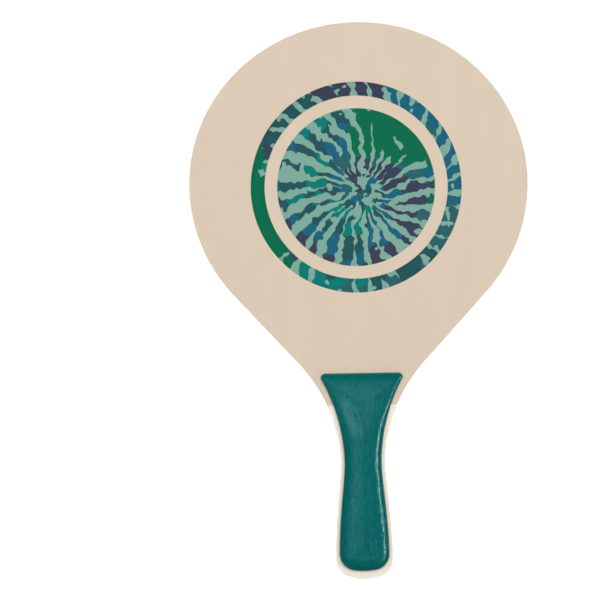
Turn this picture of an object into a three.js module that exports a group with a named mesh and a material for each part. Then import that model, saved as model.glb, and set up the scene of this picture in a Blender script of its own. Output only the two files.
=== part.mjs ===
// Wooden beach racket, standing upright on its butt with its front towards -Y.
// A plywood blade of five plies carries a thin film on both faces, a printed ring and disc
// on the front, and two crowned grip scales that are glued to the handle.
import * as THREE from 'three';
import { mergeVertices } from 'three/addons/utils/BufferGeometryUtils.js';

// Blade outline, in millimetres, from the butt at height zero to the top of the head
const HANDLE_WIDTH = 39;
const BUTT_RADIUS = 34.6;
const BUTT_CORNER_RADIUS = 12;
const WAIST_HEIGHT = 78;
const WAIST_WIDTH = 30.8;
const NECK_LENGTH = 191.8;
const HEAD_WIDTH = 231;
const CHEEK_DROP = 112.7;
const CROWN_RISE = 110.2;
const FLANK_ANGLE = THREE.MathUtils.degToRad(42.6);

// How far the handle's side runs on upright at each end, as shares of its length
const BUTT_PULL_SHARE = 0.37;
const WAIST_PULL_SHARE = 0.16;

// Plies of the blade
const FACE_VENEER_THICKNESS = 1.1;
const CROSSBAND_THICKNESS = 1.4;
const CORE_THICKNESS = 1.5;

// Film on both faces, which ends straight across the neck under the scales
const FILM_THICKNESS = 0.15;
const FILM_UNDER_SCALE = 22;

// Printed disc and ring on the front film
const PRINT_THICKNESS = 0.1;
const PRINT_HEIGHT = 267.4;
const PRINT_SHIFT = 1.6;
const DISC_DIAMETER = 107.8;
const RING_GAP = 8.6;
const RING_BAND = 9.5;

// Grip scales
const SCALE_REACH = 62.5;
const SCALE_THICKNESS = 11;
const SCALE_HEAD_THICKNESS = 7;
const SCALE_EDGE_THICKNESS = 0.6;
const SCALE_BOTTOM_MARGIN = 5.3;
const SCALE_BUTT_MARGIN = 2.4;
const SCALE_WAIST_MARGIN = 2.65;
const SCALE_TOP_MARGIN = 6.7;
const SCALE_BUTT_RADIUS = 52.8;
const SCALE_BUTT_CORNER_RADIUS = 11.4;
const SCALE_TOP_CORNER_RADIUS = 3.4;
const CROWN_REACH = 19;
const CROWN_POWER = 2.6;

// Levels below the scale's top between which its thickness eases from full to that of its head end
const TAPER_START_DEPTH = 46;
const TAPER_END_DEPTH = 14;

// Upper end of the ridge, below the scale's top, as a share of the top's half width
const RIDGE_TOP_SHARE = 0.64;
// Lower end of the ridge, above the scale's bottom, as a share of the butt's half width
const RIDGE_BUTT_SHARE = 0.95;
// Where the rings of the crowned surface lie, as shares of the way from edge to ridge
const RING_SHARES = [0, 0.05, 0.13, 0.25, 0.42, 0.66, 1];

// Glue that beds each scale below the end of the film
const GLUE_SETBACK = 1.2;
const GLUE_CLEARANCE = 0.3;

// Steps along each stretch of the outlines
const BUTT_STEPS = 4;
const CORNER_STEPS = 8;
const HANDLE_STEPS = 8;
const NECK_STEPS = 10;
const CHEEK_STEPS = 12;
const CROWN_STEPS = 24;
const TOP_CORNER_STEPS = 7;
const TOP_EDGE_STEPS = 6;
const CIRCLE_STEPS = 96;

// Levels and places that follow from the sizes above
const QUARTER_TURN = Math.PI / 2;
const HALF_TURN = Math.PI;
const FULL_TURN = 2 * Math.PI;
const WIDEST_HEIGHT = WAIST_HEIGHT + NECK_LENGTH;
const SCALE_TOP_HEIGHT = WAIST_HEIGHT + SCALE_REACH;
const FILM_END_HEIGHT = SCALE_TOP_HEIGHT - FILM_UNDER_SCALE;
const CROSSBAND_PLANE = CORE_THICKNESS / 2;
const FACE_VENEER_PLANE = CROSSBAND_PLANE + CROSSBAND_THICKNESS;
const BLADE_FACE_PLANE = FACE_VENEER_PLANE + FACE_VENEER_THICKNESS;
const FILM_FACE_PLANE = BLADE_FACE_PLANE + FILM_THICKNESS;

const BLADE_HALF = bladeHalfOutline();
const SCALE_HALF = scaleHalfOutline();

// Outline of the right half, from the axis at the bottom to the side: butt arc and corner arc
function buttPoints(base, halfWidth, radius, cornerRadius) {
  const cornerX = halfWidth - cornerRadius;
  const cornerDrop = Math.sqrt((radius - cornerRadius) ** 2 - cornerX ** 2);
  const turn = Math.atan2(cornerX, cornerDrop) - QUARTER_TURN;
  const centre = base + radius;
  const bottom = new THREE.EllipseCurve(0, centre, radius, radius, -QUARTER_TURN, turn);
  const corner = new THREE.EllipseCurve(
    cornerX, centre - cornerDrop, cornerRadius, cornerRadius, turn, 0,
  );
  return [...bottom.getPoints(BUTT_STEPS), ...corner.getPoints(CORNER_STEPS).slice(1)];
}

// Side of the handle, a slim S from the widest point of the butt up to the waist
function handlePoints(start, waistHalfWidth) {
  const length = WAIST_HEIGHT - start.y;
  const side = new THREE.CubicBezierCurve(
    start,
    new THREE.Vector2(start.x, start.y + BUTT_PULL_SHARE * length),
    new THREE.Vector2(waistHalfWidth, WAIST_HEIGHT - WAIST_PULL_SHARE * length),
    new THREE.Vector2(waistHalfWidth, WAIST_HEIGHT),
  );
  return side.getPoints(HANDLE_STEPS).slice(1);
}

// Side of the head: neck arc from the waist, straight flank, elliptic cheek and crown
function headPoints(waistHalfWidth) {
  const halfWidth = HEAD_WIDTH / 2;
  const leaving = Math.atan(CHEEK_DROP / halfWidth * Math.tan(FLANK_ANGLE));
  const flankTopX = halfWidth * Math.cos(leaving);
  const flankTopHeight = WIDEST_HEIGHT - CHEEK_DROP * Math.sin(leaving);
  const spread = flankTopX - waistHalfWidth;
  const meetingHeight = flankTopHeight - spread / Math.tan(FLANK_ANGLE);
  const tangent = Math.min(meetingHeight - WAIST_HEIGHT, spread / Math.sin(FLANK_ANGLE));
  const neckRadius = tangent / Math.tan(FLANK_ANGLE / 2);
  const neck = new THREE.EllipseCurve(
    waistHalfWidth + neckRadius, meetingHeight - tangent,
    neckRadius, neckRadius, HALF_TURN, HALF_TURN - FLANK_ANGLE, true,
  );
  const cheek = new THREE.EllipseCurve(0, WIDEST_HEIGHT, halfWidth, CHEEK_DROP, -leaving, 0);
  const crown = new THREE.EllipseCurve(0, WIDEST_HEIGHT, halfWidth, CROWN_RISE, 0, QUARTER_TURN);
  return [
    ...neck.getPoints(NECK_STEPS).slice(1),
    ...cheek.getPoints(CHEEK_STEPS),
    ...crown.getPoints(CROWN_STEPS).slice(1),
  ];
}

// Right half of the blade's outline, from the axis at the butt to the axis at the top
function bladeHalfOutline() {
  const butt = buttPoints(0, HANDLE_WIDTH / 2, BUTT_RADIUS, BUTT_CORNER_RADIUS);
  const waistHalfWidth = WAIST_WIDTH / 2;
  const half = [
    ...butt,
    ...handlePoints(butt.at(-1), waistHalfWidth),
    ...headPoints(waistHalfWidth),
  ];
  half.at(-1).x = 0;
  return half;
}

// Half width of an outline at a height, read between its points
function halfWidthAt(half, height) {
  const above = half.findIndex((point, index) => index > 0 && point.y >= height && point.x > 0);
  const low = half[above - 1];
  const high = half[above];
  const share = (height - low.y) / (high.y - low.y);
  return THREE.MathUtils.lerp(low.x, high.x, share);
}

// Scale side above the waist: one arc, upright at the waist, rounded into the level top edge
function scaleNeckPoints(waistHalfWidth, topHalfWidth) {
  const spread = topHalfWidth - waistHalfWidth;
  const radius = (SCALE_REACH ** 2 + spread ** 2) / (2 * spread);
  const cornerRadius = SCALE_TOP_CORNER_RADIUS;
  const cornerRise = SCALE_REACH - cornerRadius;
  const apart = radius + cornerRadius;
  const lean = Math.asin(cornerRise / apart);
  const side = new THREE.EllipseCurve(
    waistHalfWidth + radius, WAIST_HEIGHT, radius, radius, HALF_TURN, HALF_TURN - lean, true,
  );
  const corner = new THREE.EllipseCurve(
    waistHalfWidth + radius - apart * Math.cos(lean), WAIST_HEIGHT + cornerRise,
    cornerRadius, cornerRadius, -lean, QUARTER_TURN,
  );
  return [...side.getPoints(NECK_STEPS).slice(1), ...corner.getPoints(TOP_CORNER_STEPS).slice(1)];
}

// Right half of a grip scale's outline, inside the blade's by the named margins
function scaleHalfOutline() {
  const butt = buttPoints(
    SCALE_BOTTOM_MARGIN, HANDLE_WIDTH / 2 - SCALE_BUTT_MARGIN,
    SCALE_BUTT_RADIUS, SCALE_BUTT_CORNER_RADIUS,
  );
  const waistHalfWidth = WAIST_WIDTH / 2 - SCALE_WAIST_MARGIN;
  const topHalfWidth = halfWidthAt(BLADE_HALF, SCALE_TOP_HEIGHT) - SCALE_TOP_MARGIN;
  const side = scaleNeckPoints(waistHalfWidth, topHalfWidth);
  const topEdge = new THREE.LineCurve(side.at(-1), new THREE.Vector2(0, SCALE_TOP_HEIGHT));
  return [
    ...butt,
    ...handlePoints(butt.at(-1), waistHalfWidth),
    ...side,
    ...topEdge.getPoints(TOP_EDGE_STEPS).slice(1),
  ];
}

// Whole outline from its right half, anticlockwise, mirrored across the axis
function closedOutline(half) {
  const left = half.slice(1, -1).reverse().map((point) => new THREE.Vector2(-point.x, point.y));
  return [...half, ...left];
}

// Plate of a shape, stood upright, with its back in the plane y = 0 and its front at -Y
function plate(shape, thickness) {
  const geometry = new THREE.ExtrudeGeometry(shape, { depth: thickness, bevelEnabled: false });
  return geometry.rotateX(QUARTER_TURN);
}

// Outline of the film: the blade's outline above a straight end across the neck
function filmShape() {
  const end = FILM_END_HEIGHT;
  const half = [
    new THREE.Vector2(0, end),
    new THREE.Vector2(halfWidthAt(BLADE_HALF, end), end),
    ...BLADE_HALF.filter((point) => point.y > end),
  ];
  return new THREE.Shape(closedOutline(half));
}

// Outline of the glue bed: the scale's, set back from its edge and from the film's end
function glueShape() {
  const top = FILM_END_HEIGHT - GLUE_CLEARANCE;
  const half = SCALE_HALF.filter((point) => point.y < top).map((point) => new THREE.Vector2(
    Math.max(point.x - GLUE_SETBACK, 0),
    Math.max(point.y, SCALE_BOTTOM_MARGIN + GLUE_SETBACK),
  ));
  half.push(new THREE.Vector2(halfWidthAt(SCALE_HALF, top) - GLUE_SETBACK, top));
  half.push(new THREE.Vector2(0, top));
  return new THREE.Shape(closedOutline(half));
}

// Points of a circle round the print's centre, without a doubled end
function circlePoints(radius) {
  const circle = new THREE.EllipseCurve(-PRINT_SHIFT, PRINT_HEIGHT, radius, radius, 0, FULL_TURN);
  return circle.getPoints(CIRCLE_STEPS).slice(1);
}

// Outline of the printed ring, with its open middle
function ringShape() {
  const inner = DISC_DIAMETER / 2 + RING_GAP;
  const shape = new THREE.Shape(circlePoints(inner + RING_BAND));
  shape.holes.push(new THREE.Path(circlePoints(inner)));
  return shape;
}

// Shortest distance from a place to the edge of a closed outline
function distanceToEdge(outline, place) {
  const edge = new THREE.Line3();
  const from = new THREE.Vector3(place.x, place.y, 0);
  const nearest = new THREE.Vector3();
  return Math.min(...outline.map((point, index) => {
    const next = outline[(index + 1) % outline.length];
    edge.start.set(point.x, point.y, 0);
    edge.end.set(next.x, next.y, 0);
    return edge.closestPointToPoint(from, true, nearest).distanceTo(from);
  }));
}

// Full thickness of a scale at a height, eased down from the handle to its head end
function scaleThicknessAt(height) {
  const start = SCALE_TOP_HEIGHT - TAPER_START_DEPTH;
  const end = SCALE_TOP_HEIGHT - TAPER_END_DEPTH;
  const share = THREE.MathUtils.smoothstep(height, start, end);
  return THREE.MathUtils.lerp(SCALE_THICKNESS, SCALE_HEAD_THICKNESS, share);
}

// Rise of a scale over its back, growing from its edge inwards on a full rounded curve
function crownRise(distance, height) {
  const fall = 1 - Math.min(distance / CROWN_REACH, 1);
  const share = (1 - fall ** CROWN_POWER) ** (1 / CROWN_POWER);
  return THREE.MathUtils.lerp(SCALE_EDGE_THICKNESS, scaleThicknessAt(height), share);
}

// Closed skin through rings of equal count, each joined to the next, with no empty triangles
function loftGeometry(rings) {
  const count = rings[0].length;
  const indices = [];
  for (let ring = 0; ring < rings.length - 1; ring += 1) {
    for (let step = 0; step < count; step += 1) {
      const next = (step + 1) % count;
      const here = ring * count;
      const beyond = here + count;
      indices.push(here + step, here + next, beyond + next);
      indices.push(here + step, beyond + next, beyond + step);
    }
  }
  const loose = new THREE.BufferGeometry().setFromPoints(rings.flat());
  loose.setIndex(indices);
  const merged = mergeVertices(loose);
  const corners = merged.index.array;
  const kept = [];
  for (let first = 0; first < corners.length; first += 3) {
    const [a, b, c] = corners.slice(first, first + 3);
    if (a !== b && b !== c && c !== a) {
      kept.push(a, b, c);
    }
  }
  merged.setIndex(kept);
  merged.computeVertexNormals();
  return merged;
}

// Grip scale: flat back in the plane y = 0, thin upright edge, crowned front with a ridge
function scaleGeometry() {
  const outline = closedOutline(SCALE_HALF);
  const ridgeLow = SCALE_BOTTOM_MARGIN
    + RIDGE_BUTT_SHARE * (HANDLE_WIDTH / 2 - SCALE_BUTT_MARGIN);
  const ridgeHigh = SCALE_TOP_HEIGHT
    - RIDGE_TOP_SHARE * (halfWidthAt(BLADE_HALF, SCALE_TOP_HEIGHT) - SCALE_TOP_MARGIN);
  const ridge = outline.map(
    (point) => new THREE.Vector2(0, THREE.MathUtils.clamp(point.y, ridgeLow, ridgeHigh)),
  );
  const inward = (share) => outline.map((point, index) => point.clone().lerp(ridge[index], share));
  const flat = (places) => places.map((place) => new THREE.Vector3(place.x, 0, place.y));
  const crowned = (places) => places.map((place) => {
    const rise = crownRise(distanceToEdge(outline, place), place.y);
    return new THREE.Vector3(place.x, -rise, place.y);
  });
  return loftGeometry([
    flat(ridge),
    flat(outline),
    ...RING_SHARES.map((share) => crowned(inward(share))),
  ]);
}

// Light veneer of the blade's faces and core
function veneerMaterial() {
  return new THREE.MeshStandardMaterial({ color: '#e6dac6', roughness: 0.6, metalness: 0 });
}

// Darker cross-grained veneer between them
function crossbandMaterial() {
  return new THREE.MeshStandardMaterial({ color: '#cdb592', roughness: 0.75, metalness: 0 });
}

// Tan ground film
function filmMaterial() {
  return new THREE.MeshStandardMaterial({ color: '#dccab2', roughness: 0.5, metalness: 0 });
}

// Printed ink, here in one middle colour
function printMaterial(color) {
  return new THREE.MeshStandardMaterial({ color, roughness: 0.5, metalness: 0 });
}

// Clear-lacquered teal stain on wood
function lacquerMaterial() {
  return new THREE.MeshStandardMaterial({ color: '#0c6362', roughness: 0.25, metalness: 0 });
}

// Dried wood glue
function glueMaterial() {
  return new THREE.MeshStandardMaterial({ color: '#d8c48e', roughness: 0.4, metalness: 0 });
}

const racket = new THREE.Group();

// Adds one named piece with its back in the plane y = plane
function addPiece(name, geometry, material, plane) {
  const piece = new THREE.Mesh(geometry, material);
  piece.name = name;
  piece.position.y = plane;
  racket.add(piece);
  return piece;
}

// The five plies of the blade, from front to back
function addPlies() {
  const shape = new THREE.Shape(closedOutline(BLADE_HALF));
  const face = FACE_VENEER_THICKNESS;
  const cross = CROSSBAND_THICKNESS;
  addPiece('face_veneer_front', plate(shape, face), veneerMaterial(), -FACE_VENEER_PLANE);
  addPiece('crossband_front', plate(shape, cross), crossbandMaterial(), -CROSSBAND_PLANE);
  addPiece('core_veneer', plate(shape, CORE_THICKNESS), veneerMaterial(), CROSSBAND_PLANE);
  addPiece('crossband_back', plate(shape, cross), crossbandMaterial(), FACE_VENEER_PLANE);
  addPiece('face_veneer_back', plate(shape, face), veneerMaterial(), BLADE_FACE_PLANE);
}

// Film on both faces, and the print on the front film
function addFilmsAndPrint() {
  const disc = new THREE.Shape(circlePoints(DISC_DIAMETER / 2));
  addPiece('film_front', plate(filmShape(), FILM_THICKNESS), filmMaterial(), -BLADE_FACE_PLANE);
  addPiece('film_back', plate(filmShape(), FILM_THICKNESS), filmMaterial(), FILM_FACE_PLANE);
  addPiece('print_disc', plate(disc, PRINT_THICKNESS), printMaterial('#3f8a84'), -FILM_FACE_PLANE);
  addPiece('print_ring', plate(ringShape(), PRINT_THICKNESS), printMaterial('#2f7180'), -FILM_FACE_PLANE);
}

// Glue bed and grip scale on each side of the handle; the back one is turned round
function addGrip() {
  addPiece('glue_bed_front', plate(glueShape(), FILM_THICKNESS), glueMaterial(), -BLADE_FACE_PLANE);
  addPiece('glue_bed_back', plate(glueShape(), FILM_THICKNESS), glueMaterial(), FILM_FACE_PLANE);
  addPiece('grip_scale_front', scaleGeometry(), lacquerMaterial(), -FILM_FACE_PLANE);
  const back = addPiece('grip_scale_back', scaleGeometry(), lacquerMaterial(), FILM_FACE_PLANE);
  back.rotation.z = HALF_TURN;
}

addPlies();
addFilmsAndPrint();
addGrip();

export default racket;
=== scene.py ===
"""Wooden beach racket dressed for its portrait: plywood blade, tan film, dyed print and teal grip scales.

Lengths are in metres. X runs across the face, Y through the thickness with the printed front
towards -Y, and Z up along the racket from its butt.
"""

import math

import bmesh
import bpy
import numpy as np
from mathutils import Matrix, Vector


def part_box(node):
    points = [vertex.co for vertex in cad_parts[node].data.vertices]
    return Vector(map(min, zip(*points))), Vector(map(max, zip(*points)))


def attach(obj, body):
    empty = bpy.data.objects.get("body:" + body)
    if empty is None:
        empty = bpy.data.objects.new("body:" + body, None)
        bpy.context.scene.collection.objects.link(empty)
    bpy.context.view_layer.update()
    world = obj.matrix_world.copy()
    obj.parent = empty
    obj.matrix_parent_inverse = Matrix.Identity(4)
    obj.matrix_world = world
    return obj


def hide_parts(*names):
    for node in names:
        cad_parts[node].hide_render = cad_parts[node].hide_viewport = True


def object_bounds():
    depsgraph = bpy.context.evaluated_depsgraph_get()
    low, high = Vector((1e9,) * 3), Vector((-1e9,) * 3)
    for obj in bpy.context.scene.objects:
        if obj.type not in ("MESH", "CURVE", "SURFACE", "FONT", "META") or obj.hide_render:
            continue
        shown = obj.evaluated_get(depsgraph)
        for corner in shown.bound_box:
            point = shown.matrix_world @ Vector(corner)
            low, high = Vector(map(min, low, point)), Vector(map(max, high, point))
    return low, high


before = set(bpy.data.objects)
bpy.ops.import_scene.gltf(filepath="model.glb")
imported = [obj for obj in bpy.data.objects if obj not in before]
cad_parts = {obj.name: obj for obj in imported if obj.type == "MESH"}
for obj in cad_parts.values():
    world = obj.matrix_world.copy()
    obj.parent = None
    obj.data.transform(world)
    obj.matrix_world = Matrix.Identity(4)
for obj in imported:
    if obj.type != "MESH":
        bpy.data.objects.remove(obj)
CAD_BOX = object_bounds()

bl_info = {
    "name": "Beach Racket",
    "version": (1, 0, 0),
    "blender": (4, 5, 0),
    "location": "3D View > Sidebar > Racket",
    "description": "Builds a printed plywood beach racket with lacquered grip scales",
    "category": "Add Mesh",
}

MM = 0.001
QUARTER_TURN = math.pi / 2
FULL_TURN = 2 * math.pi


def node_box(name):
    """Lowest and highest corner of a CAD node."""
    low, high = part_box(name)
    return np.array(low), np.array(high)


CORE_LOW, CORE_HIGH = node_box("core_veneer")
SCALE_LOW, SCALE_HIGH = node_box("grip_scale_front")
DISC_LOW, DISC_HIGH = node_box("print_disc")
RING_LOW, RING_HIGH = node_box("print_ring")
FILM_END = node_box("film_front")[0][2]


def factor(name, description, default, low=0.0, high=1.0, **extra):
    """Number property between two limits."""
    return bpy.props.FloatProperty(
        name=name, description=description, default=float(default), min=low, max=high, **extra,
    )


def length(name, description, default, low=0.0):
    """Length property in metres."""
    return factor(name, description, default, low, 10.0, precision=4, unit="LENGTH", subtype="DISTANCE")


def angle(name, description, degrees, low=-1.4):
    """Angle property, its default in degrees and its limits in radians."""
    return factor(name, description, math.radians(degrees), low, 1.4, unit="ROTATION", subtype="ANGLE")


def colour(name, description, default):
    """Colour property, in linear red, green and blue."""
    return bpy.props.FloatVectorProperty(
        name=name, description=description, default=default,
        size=3, min=0.0, max=1.0, subtype="COLOR",
    )


class BladeSettings(bpy.types.PropertyGroup):
    """Outline of the blade, its arrises and the colours of its plies."""

    handle_width: length("Handle width", "Widest part of the handle, near the butt", 39 * MM)
    butt_radius: length("Butt radius", "Wide arc across the end of the handle", 34.6 * MM)
    butt_corner: length("Butt corner", "Radius of the butt's two corners", 12 * MM)
    waist_height: length("Waist height", "Narrowest level of the handle", 78 * MM)
    waist_width: length("Waist width", "Width of the handle at its waist", 30.8 * MM)
    head_width: length("Head width", "Widest part of the head", CORE_HIGH[0] - CORE_LOW[0])
    overall: length("Length", "Butt to top of the head", CORE_HIGH[2] - CORE_LOW[2])
    crown_rise: length("Crown rise", "From the widest level up to the top", 110.2 * MM)
    cheek_drop: length("Cheek drop", "Half axis of the ellipse below the widest level", 112.7 * MM)
    flank_angle: angle("Flank angle", "Lean of the straight flanks from the axis", 42.6, 0.1)
    arris: length("Arris", "Rounding of the blade's sanded outer edges", 0.35 * MM)
    groove: length("Groove", "Fine rounding where two plies meet on the rim", 0.06 * MM)
    recess: length("Recess", "How far sanding took the softer crossbands back", 0.05 * MM)
    light_wood: colour("Light wood", "Pale early wood of the veneers", (0.97, 0.905, 0.79))
    dark_wood: colour("Dark wood", "Grain lines of the veneers", (0.87, 0.765, 0.60))
    light_cross: colour("Light crossband", "Pale parts of the crossbands", (0.80, 0.65, 0.46))
    dark_cross: colour("Dark crossband", "Pores and grain of the crossbands", (0.56, 0.41, 0.25))


class FilmSettings(bpy.types.PropertyGroup):
    """Tan film on both faces."""

    setback: length("Setback", "From the blade's outline to the film's edge", 0.1 * MM)
    edge: length("Edge", "Rounding of the film's edge", 0.05 * MM)
    ground: colour("Ground", "Tan of the film", (0.716, 0.591, 0.456))
    worn: colour("Worn", "Paler tan along rubbed edges", (0.86, 0.79, 0.68))


class PrintSettings(bpy.types.PropertyGroup):
    """Dyed pattern of the disc and the ring."""

    twist: factor("Twist", "Turn of the rays, in radians, from the eye to the ring", -0.35, -6.0, 6.0)
    eye_x: factor("Eye across", "Place of the pattern's eye, in shares of the ring's radius", 0.06, -1.0)
    eye_z: factor("Eye up", "Place of the pattern's eye, in shares of the ring's radius", -0.05, -1.0)
    mint: colour("Mint", "Undyed rays", (0.212, 0.410, 0.338))
    green: colour("Green", "Green dye", (0.0005, 0.148, 0.070))
    teal: colour("Teal", "Bright teal dye", (0.0005, 0.199, 0.171))
    deep_teal: colour("Deep teal", "Dark teal dye", (0.016, 0.088, 0.099))
    blue: colour("Blue", "Blue dye", (0.010, 0.122, 0.205))
    slate: colour("Slate", "Grey teal dye", (0.023, 0.122, 0.139))
    violet: colour("Violet", "Dark violet dye", (0.043, 0.050, 0.092))
    ring_inner: length("Ring inner radius", "Open middle of the ring", 62.5 * MM)


class GripSettings(bpy.types.PropertyGroup):
    """Outline, crown and finish of the two grip scales."""

    bottom_margin: length("Bottom margin", "Bare wood below the scale", 5.3 * MM)
    butt_margin: length("Butt margin", "Bare wood beside the scale near the butt", 2.4 * MM)
    waist_margin: length("Waist margin", "Bare wood beside the scale at the waist", 2.65 * MM)
    top_margin: length("Top margin", "Level gap from the top corner to the blade's edge", 6.7 * MM)
    butt_radius: length("Butt radius", "Wide arc across the scale's lower end", 52.8 * MM)
    butt_corner: length("Butt corner", "Radius of the scale's lower corners", 11.4 * MM)
    top_corner: length("Top corner", "Radius of the scale's upper corners", 2.9 * MM)
    edge: length("Edge", "Height of the upright edge", 0.6 * MM)
    head_thickness: length("Head thickness", "Thickness towards the scale's head end", 7 * MM)
    taper_start: length("Taper start", "Below the top, where the thickness starts to fall", 46 * MM)
    taper_end: length("Taper end", "Below the top, where the thickness has fallen", 14 * MM)
    mitre: factor("Mitre", "How far the crown's mitres are rounded off", 0.2)
    reach: length("Crown reach", "Distance in from the edge over which the shoulder rises", 13 * MM)
    power: factor("Crown power", "Fullness of the crown's shoulder", 2.6, 1.0, 6.0)
    top_share: factor("Top share", "Rise of the crown's top facet as a share of the side facets'", 0.78)
    roof: factor("Roof", "Share of the crown that rises evenly from the edge to the ridge", 0.17)
    stain: colour("Stain", "Teal stain", (0.0008, 0.130, 0.127))
    stain_dark: colour("Dark stain", "Stain in the grain lines", (0.0004, 0.094, 0.092))
    stroke: colour("Stroke", "Fine pale strokes along the grain", (0.0022, 0.152, 0.148))
    gloss: colour("Gloss", "Tint of the lacquer's reflections", (0.55, 1.0, 1.0))
    roughness: factor("Roughness", "Roughness of the lacquer", 0.14)


class StudioSettings(bpy.types.PropertyGroup):
    """Camera and light."""

    distance: length("Camera distance", "From the lens to the racket's middle plane", 2.4)
    view_width: length("View width", "Width seen by the camera at the racket", 410.1 * MM)
    aim_x: length("Aim across", "Where the camera looks, across the racket", -41.2 * MM, -1.0)
    aim_z: length("Aim up", "Where the camera looks, up the racket", 191.0 * MM)
    lean: angle("Lean", "Roll of the camera, which leans the racket to the left", 0.95)


# Outlines

# Points along each arc and curve
CURVE_POINTS = 160
# Points closer than this are the same point
SAME_POINT = 1e-9
# Points nearer the axis than this belong to the butt or to the top of the head
AXIS_BAND = 5 * MM
# How far the handle's side runs on upright at each end, as shares of its length
BUTT_PULL_SHARE, WAIST_PULL_SHARE = 0.37, 0.16


def arc(centre, radii, start, end):
    """Arc of a circle or ellipse: centre plus one or two radii times cosine and sine of even angles."""
    turn = np.linspace(start, end, CURVE_POINTS)
    return centre + np.stack([np.cos(turn), np.sin(turn)], axis=1) * radii


def respaced(points, step):
    """The same line through points a step apart: places interpolated over the length along it."""
    gaps = np.linalg.norm(np.diff(points, axis=0), axis=1)
    keep = np.concatenate([[True], gaps > SAME_POINT])
    points = points[keep]
    along = np.concatenate([[0], np.cumsum(gaps[keep[1:]])])
    count = max(2, int(round(along[-1] / step)) + 1)
    at = np.linspace(0, along[-1], count)
    return np.stack([np.interp(at, along, places) for places in points.T], axis=1)


def butt_line(base, half_width, radius, corner):
    """Lower end from the axis to the side: a wide arc, then a corner arc that touches it."""
    corner_x = half_width - corner
    drop = math.sqrt((radius - corner) ** 2 - corner_x ** 2)
    turn = math.atan2(corner_x, drop) - QUARTER_TURN
    wide = arc((0, base + radius), radius, -QUARTER_TURN, turn)
    tight = arc((corner_x, base + radius - drop), corner, turn, 0)
    return np.concatenate([wide, tight])


def handle_line(start, waist_half, waist_height):
    """Side of the handle: a cubic Bezier curve that is upright at the butt and at the waist.

    The four control points are weighted by 1, 3, 3, 1 times rising powers of t and falling of 1 - t.
    """
    reach = waist_height - start[1]
    controls = np.array([
        start, (start[0], start[1] + BUTT_PULL_SHARE * reach),
        (waist_half, waist_height - WAIST_PULL_SHARE * reach), (waist_half, waist_height),
    ])
    t, power = np.linspace(0, 1, CURVE_POINTS)[:, None], np.arange(4)
    return (np.array([1, 3, 3, 1]) * t ** power * (1 - t) ** (3 - power)) @ controls


def head_line(blade):
    """Head from the waist to the top: neck arc, straight flank, elliptic cheek, elliptic crown."""
    half, waist = blade.head_width / 2, blade.waist_width / 2
    widest = blade.overall - blade.crown_rise
    lean = blade.flank_angle
    leaving = math.atan(blade.cheek_drop / half * math.tan(lean))
    flank_x, flank_z = half * math.cos(leaving), widest - blade.cheek_drop * math.sin(leaving)
    spread = flank_x - waist
    meeting = flank_z - spread / math.tan(lean)
    tangent = min(meeting - blade.waist_height, spread / math.sin(lean))
    radius = tangent / math.tan(lean / 2)
    neck = arc((waist + radius, meeting - tangent), radius, math.pi, math.pi - lean)
    cheek = arc((0, widest), (half, blade.cheek_drop), -leaving, 0)
    crown = arc((0, widest), (half, blade.crown_rise), 0, QUARTER_TURN)
    return np.concatenate([neck, cheek, crown])


def blade_half(blade):
    """Right half of the blade's outline, from the axis at the butt to the axis at the top."""
    butt = butt_line(0, blade.handle_width / 2, blade.butt_radius, blade.butt_corner)
    side = handle_line(butt[-1], blade.waist_width / 2, blade.waist_height)
    return np.concatenate([butt, side, head_line(blade)])


def half_width_at(half, height):
    """Half width at a height, interpolated on the stretch from the waist to the widest level."""
    low = np.argmin(np.where(half[:, 0] > AXIS_BAND, half[:, 0], np.inf))
    high = np.argmax(half[:, 0])
    return float(np.interp(height, half[low:high, 1], half[low:high, 0]))


def scale_half(blade, grip):
    """Right half of a scale's outline: butt, handle side, neck arc, rounded top corner, level top."""
    top = SCALE_HIGH[2]
    waist = blade.waist_width / 2 - grip.waist_margin
    low_half = blade.handle_width / 2 - grip.butt_margin
    butt = butt_line(grip.bottom_margin, low_half, grip.butt_radius, grip.butt_corner)
    side = handle_line(butt[-1], waist, blade.waist_height)
    rise = top - blade.waist_height
    spread = half_width_at(blade_half(blade), top) - grip.top_margin - waist
    radius = (rise ** 2 + spread ** 2) / (2 * spread)
    apart, corner_rise = radius + grip.top_corner, rise - grip.top_corner
    lean = math.asin(corner_rise / apart)
    neck = arc((waist + radius, blade.waist_height), radius, math.pi, math.pi - lean)
    corner = arc((waist + radius - apart * math.cos(lean), blade.waist_height + corner_rise),
                 grip.top_corner, -lean, QUARTER_TURN)
    return np.concatenate([butt, side, neck, corner, [(0, top)]])


def closed(half):
    """Whole outline, anticlockwise from below: the right half upwards, then its mirror image down."""
    half = half.copy()
    half[[0, -1], 0] = 0
    return np.concatenate([half, half[-2:0:-1] * [-1, 1]])


def inward(outline):
    """Unit normals into a closed outline: the chord between a point's neighbours, turned left."""
    chord = np.roll(outline, -1, axis=0) - np.roll(outline, 1, axis=0)
    normal = np.stack([-chord[:, 1], chord[:, 0]], axis=1)
    return normal / np.linalg.norm(normal, axis=1, keepdims=True)


# Surfaces

# Points this close are merged, and edges this short are dissolved
MERGED, DISSOLVED = 1e-6, 1e-7
# Least distance to a chord's line that the soft distance reckons with
LEAST_OFF = 2e-5


def level_ring(outline, y):
    """Outline stood up at one y, or at a y for each of its points."""
    return np.stack([outline[:, 0], np.full(len(outline), y), outline[:, 1]], axis=1)


def spine_of(outline, low, high):
    """For each outline point the place on the axis at its own height, kept between two heights."""
    return np.stack([np.zeros(len(outline)), np.clip(outline[:, 1], low, high)], axis=1)


def flat_rings(outline, spine, y, count):
    """Rings that fill a flat face: the outline drawn in towards the spine in equal shares."""
    shares = np.linspace(1, 0, count)
    return [level_ring(outline + (spine - outline) * share, y) for share in shares]


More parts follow.
